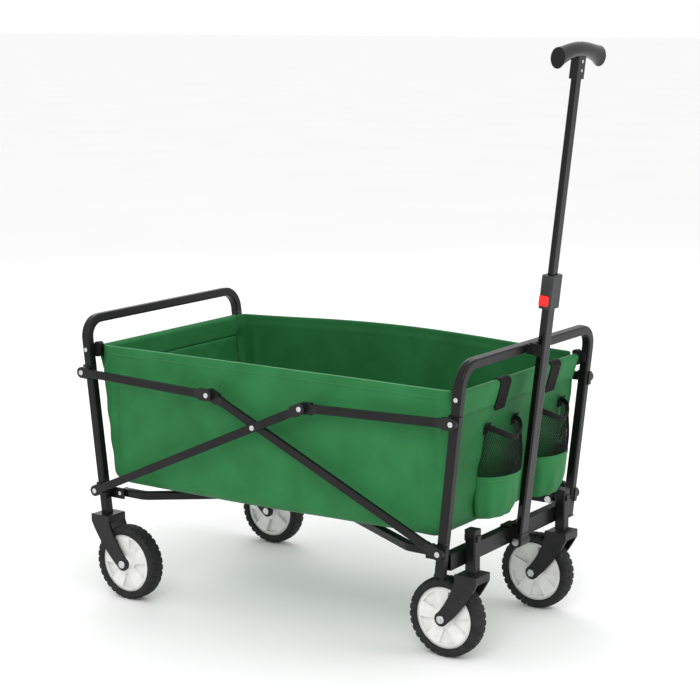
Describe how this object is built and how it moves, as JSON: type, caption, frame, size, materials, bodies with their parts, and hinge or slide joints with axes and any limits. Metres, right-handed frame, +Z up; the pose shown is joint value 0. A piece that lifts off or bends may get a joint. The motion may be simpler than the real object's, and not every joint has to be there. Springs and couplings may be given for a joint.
{
  "type": "folding camp wagon",
  "caption": "Folding camping wagon with a fabric tub, splayed end frames, scissor side links, swivel front wheels and a telescopic pull handle.",
  "frame": {"origin": "middle of the footprint on the ground under the wheels", "axes": "+X to the pull-handle end, +Y to the wagon's left, +Z up from the ground"},
  "size_m": [0.9847, 0.5354, 1.1014],
  "materials": {
    "black_tube": "satin powder coat",
    "black_plastic": "moulded, fine texture",
    "fork_plastic": "moulded, satin",
    "zinc_steel": "zinc plated",
    "black_steel": "satin black",
    "white_rim": "moulded, satin",
    "tyre": "moulded, matt",
    "green_fabric": "woven, coated inside",
    "black_webbing": "woven webbing",
    "handle_tube": "gloss black",
    "grey_plastic": "moulded, fine texture",
    "red_plastic": "moulded, gloss",
    "grip_plastic": "moulded, semi-gloss"
  },
  "bodies": {
    "rear_frame": {"rear_frame_tube": "black_tube", "rear_post_saddles": "black_plastic", "rear_frame_fasteners": "black_steel", "right_rear_fork": "fork_plastic", "left_rear_fork": "fork_plastic", "rear_axle_bolts": "zinc_steel", "rear_hem_rod": "black_steel", "rear_hem_caps": "black_plastic", "rear_panel": "green_fabric", "left_side_panel": "green_fabric", "right_side_panel": "green_fabric"},
    "rear_lower_links": {"rear_lower_links": "black_tube", "rear_lower_fittings": "black_plastic", "rear_lower_rivets": "black_steel"},
    "front_upper_links": {"front_upper_links": "black_tube", "front_upper_fittings": "black_plastic"},
    "front_frame": {"front_frame_tube": "black_tube", "front_cross_beam": "black_tube", "caster_tubes": "black_tube", "front_tube_plugs": "black_plastic", "front_post_saddles": "black_plastic", "front_frame_fasteners": "black_steel", "front_hem_rod": "black_steel", "front_hem_caps": "black_plastic", "front_panel": "green_fabric", "hem_straps": "black_webbing", "cup_pockets": "green_fabric", "handle_yoke": "black_tube", "handle_clip": "black_plastic"},
    "front_lower_links": {"front_lower_links": "black_tube", "front_lower_fittings": "black_plastic"},
    "rear_upper_links": {"rear_upper_links": "black_tube", "rear_upper_fittings": "black_plastic", "rear_upper_rivets": "black_steel"},
    "rear_floor_arms": {"rear_floor_arms": "black_tube", "rear_floor_cloth": "green_fabric"},
    "floor_hub": {"floor_hub": "black_plastic", "floor_hub_pin": "black_steel"},
    "front_floor_arms": {"front_floor_arms": "black_tube", "front_floor_cloth": "green_fabric"},
    "right_rear_wheel": {"right_rear_rim": "white_rim", "right_rear_tyre": "tyre"},
    "left_rear_wheel": {"left_rear_rim": "white_rim", "left_rear_tyre": "tyre"},
    "right_caster": {"right_caster_fork": "fork_plastic", "right_caster_pins": "zinc_steel"},
    "left_caster": {"left_caster_fork": "fork_plastic", "left_caster_pins": "zinc_steel"},
    "right_front_wheel": {"right_front_rim": "white_rim", "right_front_tyre": "tyre"},
    "left_front_wheel": {"left_front_rim": "white_rim", "left_front_tyre": "tyre"},
    "handle_lower": {"handle_base": "black_plastic", "handle_lower_tube": "handle_tube", "handle_collar": "grey_plastic"},
    "release_button": {"release_button": "red_plastic"},
    "handle_upper": {"handle_upper_tube": "handle_tube", "handle_grip": "grip_plastic", "grip_rivets": "zinc_steel"}
  },
  "joints": [
    {"name": "fold", "type": "hinge", "parent": "rear_frame", "child": "rear_lower_links", "pos_m": [-0.44695, 0, 0.218], "axis": [0, -1, 0], "range_deg": [0, 60.69], "deforming": ["left_side_panel", "right_side_panel", "rear_floor_cloth", "front_floor_cloth"]},
    {"name": "front_elbow", "type": "hinge", "parent": "rear_lower_links", "child": "front_upper_links", "pos_m": [0.06028, 0, 0.4457], "axis": [0, -1, 0], "range_deg": [-137.92, 0]},
    {"name": "front_top_pivot", "type": "hinge", "parent": "front_upper_links", "child": "front_frame", "pos_m": [0.37645, 0, 0.455], "axis": [0, -1, 0], "range_deg": [0, 85.36]},
    {"name": "front_low_pivot", "type": "hinge", "parent": "front_frame", "child": "front_lower_links", "pos_m": [0.35071, 0, 0.218], "axis": [0, -1, 0], "range_deg": [-61.19, 0]},
    {"name": "rear_elbow", "type": "hinge", "parent": "front_lower_links", "child": "rear_upper_links", "pos_m": [-0.15652, 0, 0.4457], "axis": [0, -1, 0], "range_deg": [0, 137.92]},
    {"name": "rear_floor_pivot", "type": "hinge", "parent": "rear_frame", "child": "rear_floor_arms", "pos_m": [-0.41597, 0, 0.209], "axis": [0, -1, 0], "range_deg": [0, 92.6]},
    {"name": "hub_pivot", "type": "hinge", "parent": "rear_floor_arms", "child": "floor_hub", "pos_m": [-0.07612, 0, 0.209], "axis": [0, -1, 0], "range_deg": [-88.54, 0]},
    {"name": "front_floor_pivot", "type": "hinge", "parent": "front_frame", "child": "front_floor_arms", "pos_m": [0.31973, 0, 0.209], "axis": [0, -1, 0], "range_deg": [-92.6, 0]},
    {"name": "right_rear_spin", "type": "hinge", "parent": "rear_frame", "child": "right_rear_wheel", "pos_m": [-0.38415, -0.2361, 0.075], "axis": [0, 1, 0], "continuous": true},
    {"name": "left_rear_spin", "type": "hinge", "parent": "rear_frame", "child": "left_rear_wheel", "pos_m": [-0.38415, 0.2361, 0.075], "axis": [0, 1, 0], "continuous": true},
    {"name": "right_swivel", "type": "hinge", "parent": "front_frame", "child": "right_caster", "pos_m": [0.37051, -0.1672, 0.2], "axis": [0, 0, 1], "continuous": true},
    {"name": "left_swivel", "type": "hinge", "parent": "front_frame", "child": "left_caster", "pos_m": [0.37051, 0.1672, 0.2], "axis": [0, 0, 1], "continuous": true},
    {"name": "right_front_spin", "type": "hinge", "parent": "right_caster", "child": "right_front_wheel", "pos_m": [0.31881, -0.1672, 0.075], "axis": [0, 1, 0], "continuous": true},
    {"name": "left_front_spin", "type": "hinge", "parent": "left_caster", "child": "left_front_wheel", "pos_m": [0.31881, 0.1672, 0.075], "axis": [0, 1, 0], "continuous": true},
    {"name": "handle_pivot", "type": "hinge", "parent": "front_frame", "child": "handle_lower", "pos_m": [0.37388, 0, 0.186], "axis": [0, 1, 0], "range_deg": [0, 90]},
    {"name": "handle_slide", "type": "slide", "parent": "handle_lower", "child": "handle_upper", "axis": [0.1153, 0, 0.9933], "range_m": [-0.345, 0]},
    {"name": "button_press", "type": "slide", "parent": "handle_lower", "child": "release_button", "axis": [0, 1, 0], "range_m": [0, 0.0025], "stiffness_N_per_m": 400}
  ],
  "couplings": [
    {"joint": "front_elbow", "follows": "fold", "ratio": -2.2642},
    {"joint": "front_top_pivot", "follows": "fold", "ratio": 1.3982},
    {"joint": "front_low_pivot", "follows": "fold", "ratio": -1},
    {"joint": "rear_elbow", "follows": "fold", "ratio": 2.2642},
    {"joint": "rear_floor_pivot", "follows": "fold", "ratio": 1.5176},
    {"joint": "hub_pivot", "follows": "fold", "ratio": -1.4506},
    {"joint": "front_floor_pivot", "follows": "fold", "ratio": -1.5176}
  ]
}
